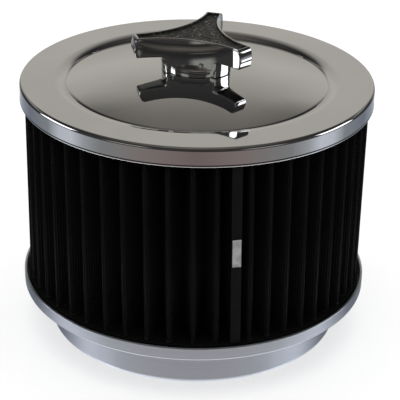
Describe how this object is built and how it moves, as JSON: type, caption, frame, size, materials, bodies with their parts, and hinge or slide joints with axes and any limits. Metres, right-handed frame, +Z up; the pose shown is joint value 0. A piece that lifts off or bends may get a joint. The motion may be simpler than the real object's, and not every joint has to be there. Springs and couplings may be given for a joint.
{
  "type": "round carburettor air filter",
  "caption": "Round air cleaner: turned base with a neck collar, tall pleated black element, domed chrome lid and a three-arm knob on a threaded centre stud.",
  "frame": {"origin": "centre of the neck collar's bottom rim, on the stud's axis", "axes": "+Z up along the stud towards the knob; -Y is the side the seam strip is nearly on, 13.4 degrees from it towards +X"},
  "size_m": [0.166, 0.166, 0.1455],
  "materials": {
    "turned_aluminium": "satin, with fine turning marks around the axis",
    "polished_chrome": "mirror polished",
    "black_wire_cloth": "black coated fine wire cloth",
    "oiled_cotton": "black cotton gauze, dull",
    "moulded_seal": "moulded, semi-matt",
    "black_strip": "satin black",
    "blank_label": "pale grey, blank",
    "grey_gasket": "dull fibre-filled sheet",
    "plated_steel": "zinc plated",
    "turned_brass": "turned",
    "black_wrinkle": "black wrinkle paint",
    "washer_rubber": "black rubber"
  },
  "bodies": {
    "base": {"base_tray": "turned_aluminium", "neck_collar": "turned_aluminium", "neck_gasket": "grey_gasket", "centre_stud": "plated_steel"},
    "element": {"outer_wire_mesh": "black_wire_cloth", "pleated_media": "oiled_cotton", "inner_wire_mesh": "black_wire_cloth", "bottom_end_seal": "moulded_seal", "top_end_seal": "moulded_seal", "seam_strip": "black_strip", "seam_label": "blank_label"},
    "lid": {"lid": "polished_chrome"},
    "washer": {"knob_seal": "washer_rubber"},
    "knob": {"knob_body": "polished_chrome", "knob_inlay": "black_wrinkle", "knob_insert": "turned_brass"}
  },
  "joints": [
    {"name": "element_lift", "type": "slide", "parent": "base", "child": "element", "axis": [0, 0, 1], "range_m": [0, 0.12]},
    {"name": "lid_lift", "type": "slide", "parent": "element", "child": "lid", "axis": [0, 0, 1], "range_m": [0, 0.03]},
    {"name": "knob_travel", "type": "slide", "parent": "lid", "child": "washer", "axis": [0, 0, 1], "range_m": [0, 0.0127]},
    {"name": "knob_turn", "type": "hinge", "parent": "washer", "child": "knob", "pos_m": [0, 0, 0.128], "axis": [0, 0, 1], "range_deg": [0, 3600]}
  ],
  "couplings": [
    {"joint": "knob_travel", "follows": "knob_turn", "m_per_rad": 0.00020213}
  ]
}
